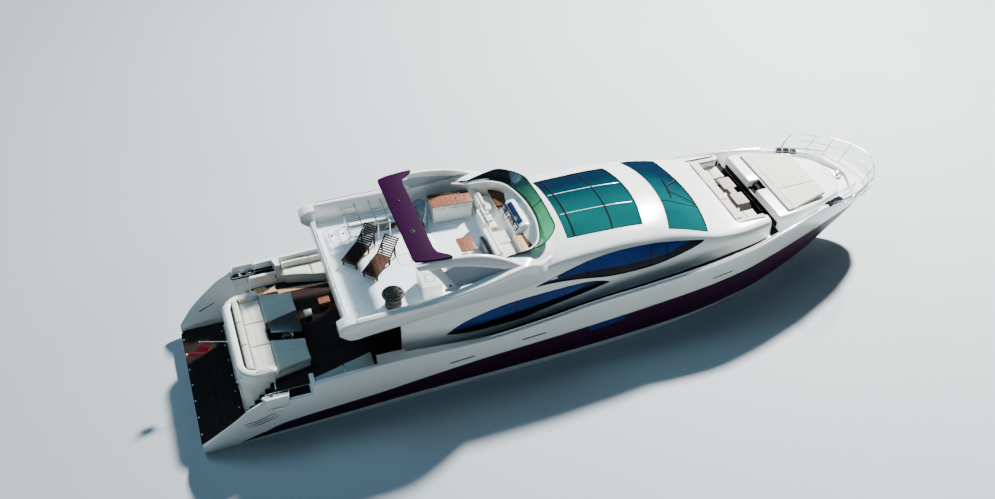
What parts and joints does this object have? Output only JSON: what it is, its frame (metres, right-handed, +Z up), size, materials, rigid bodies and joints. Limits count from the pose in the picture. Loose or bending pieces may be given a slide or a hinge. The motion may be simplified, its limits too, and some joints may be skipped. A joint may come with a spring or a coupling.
{
  "type": "motor yacht",
  "caption": "Motor yacht with stern platform, cockpit, glazed coupe, flybridge, radar arch and foredeck lounge; garage and saloon doors, rudders, propellers and helm wheel move.",
  "frame": {"origin": "on the centreline, amidships, at the height of the resting waterline", "axes": "+X to the bow, +Y to port, +Z up"},
  "size_m": [31.35, 7.36, 8.6983],
  "materials": {
    "gelcoat": "polished white gelcoat",
    "plum_paint": "gloss plum topside paint",
    "teak_dark": "dark oiled teak planks with black caulking",
    "wood_warm": "warm oiled teak",
    "cushion_beige": "woven outdoor fabric",
    "cushion_grey": "woven outdoor fabric",
    "stainless": "polished stainless steel",
    "bronze": "cast bronze",
    "black_plastic": "moulded satin black",
    "wicker": "woven dark synthetic wicker",
    "roof_glass": "green tinted glass",
    "side_glass": "deep blue tinted glass",
    "flag_cloth": "plain red bunting"
  },
  "bodies": {
    "root": {"hull": "gelcoat", "swim_platform": "teak_dark", "stern_stairs_port": "teak_dark", "stern_stairs_starboard": "teak_dark", "transom_block": "gelcoat", "flagstaff": "stainless", "flag": "flag_cloth", "cockpit_sole": "teak_dark", "aft_sofa": "cushion_beige", "aft_table": "teak_dark", "side_sofa_port": "cushion_grey", "side_sofa_starboard": "cushion_grey", "mooring_pod_port": "gelcoat", "mooring_pod_starboard": "gelcoat", "superstructure": "gelcoat", "upper_side_glass_port": "side_glass", "upper_side_glass_starboard": "side_glass", "lower_side_glass_port": "side_glass", "lower_side_glass_starboard": "side_glass", "roof_glass": "roof_glass", "windshield": "roof_glass", "saloon_bulkhead": "gelcoat", "saloon_screen": "side_glass", "saloon_sofa": "cushion_beige", "saloon_table": "wood_warm", "lower_helm": "black_plastic", "flybridge": "gelcoat", "fly_stair": "teak_dark", "fly_stair_rail": "stainless", "arch_leg_port": "gelcoat", "arch_leg_starboard": "gelcoat", "arch_band": "plum_paint", "fly_windscreen": "roof_glass", "fly_console": "gelcoat", "helm_seat": "cushion_beige", "fly_seat_port": "cushion_beige", "fly_sofa": "cushion_beige", "wet_bar": "gelcoat", "fly_table": "wood_warm", "fly_cabinet": "gelcoat", "wicker_table": "wicker", "lounger_port": "wood_warm", "lounger_starboard": "wood_warm", "bow_sofa": "cushion_beige", "bow_table_port": "wood_warm", "bow_table_starboard": "wood_warm", "trunk": "gelcoat", "sunpad": "cushion_beige", "bow_rail": "stainless", "windlass": "stainless", "shaft_port": "stainless", "shaft_starboard": "stainless"},
    "garage_door": {"garage_door": "gelcoat"},
    "saloon_door": {"saloon_door": "side_glass"},
    "steering_wheel": {"steering_wheel": "black_plastic"},
    "propeller_port": {"propeller_port": "bronze"},
    "propeller_starboard": {"propeller_starboard": "bronze"},
    "rudder_port": {"rudder_port": "bronze"},
    "rudder_starboard": {"rudder_starboard": "bronze"}
  },
  "joints": [
    {"name": "garage_door_hinge", "type": "hinge", "parent": "root", "child": "garage_door", "pos_m": [-13.77, 0, 1.725], "axis": [0, 1, 0], "range_deg": [0, 80]},
    {"name": "saloon_door_slide", "type": "slide", "parent": "root", "child": "saloon_door", "axis": [0, 1, 0], "range_m": [0, 1.74]},
    {"name": "helm_wheel_turn", "type": "hinge", "parent": "root", "child": "steering_wheel", "pos_m": [-2.33, 0.3, 5.48], "axis": [-0.7833, 0, 0.6216], "range_deg": [-540, 540]},
    {"name": "propeller_port_spin", "type": "hinge", "parent": "root", "child": "propeller_port", "pos_m": [-12.5, 1.25, -1.42], "axis": [0.975, 0, 0.2221], "continuous": true},
    {"name": "propeller_starboard_spin", "type": "hinge", "parent": "root", "child": "propeller_starboard", "pos_m": [-12.5, -1.25, -1.42], "axis": [0.975, 0, 0.2221], "continuous": true},
    {"name": "rudder_port_turn", "type": "hinge", "parent": "root", "child": "rudder_port", "pos_m": [-13.75, 1.25, -1.2], "axis": [0, 0, 1], "range_deg": [-35, 35]},
    {"name": "rudder_starboard_turn", "type": "hinge", "parent": "root", "child": "rudder_starboard", "pos_m": [-13.75, -1.25, -1.2], "axis": [0, 0, 1], "range_deg": [-35, 35]}
  ],
  "couplings": [
    {"joint": "rudder_starboard_turn", "follows": "rudder_port_turn", "ratio": 1}
  ]
}
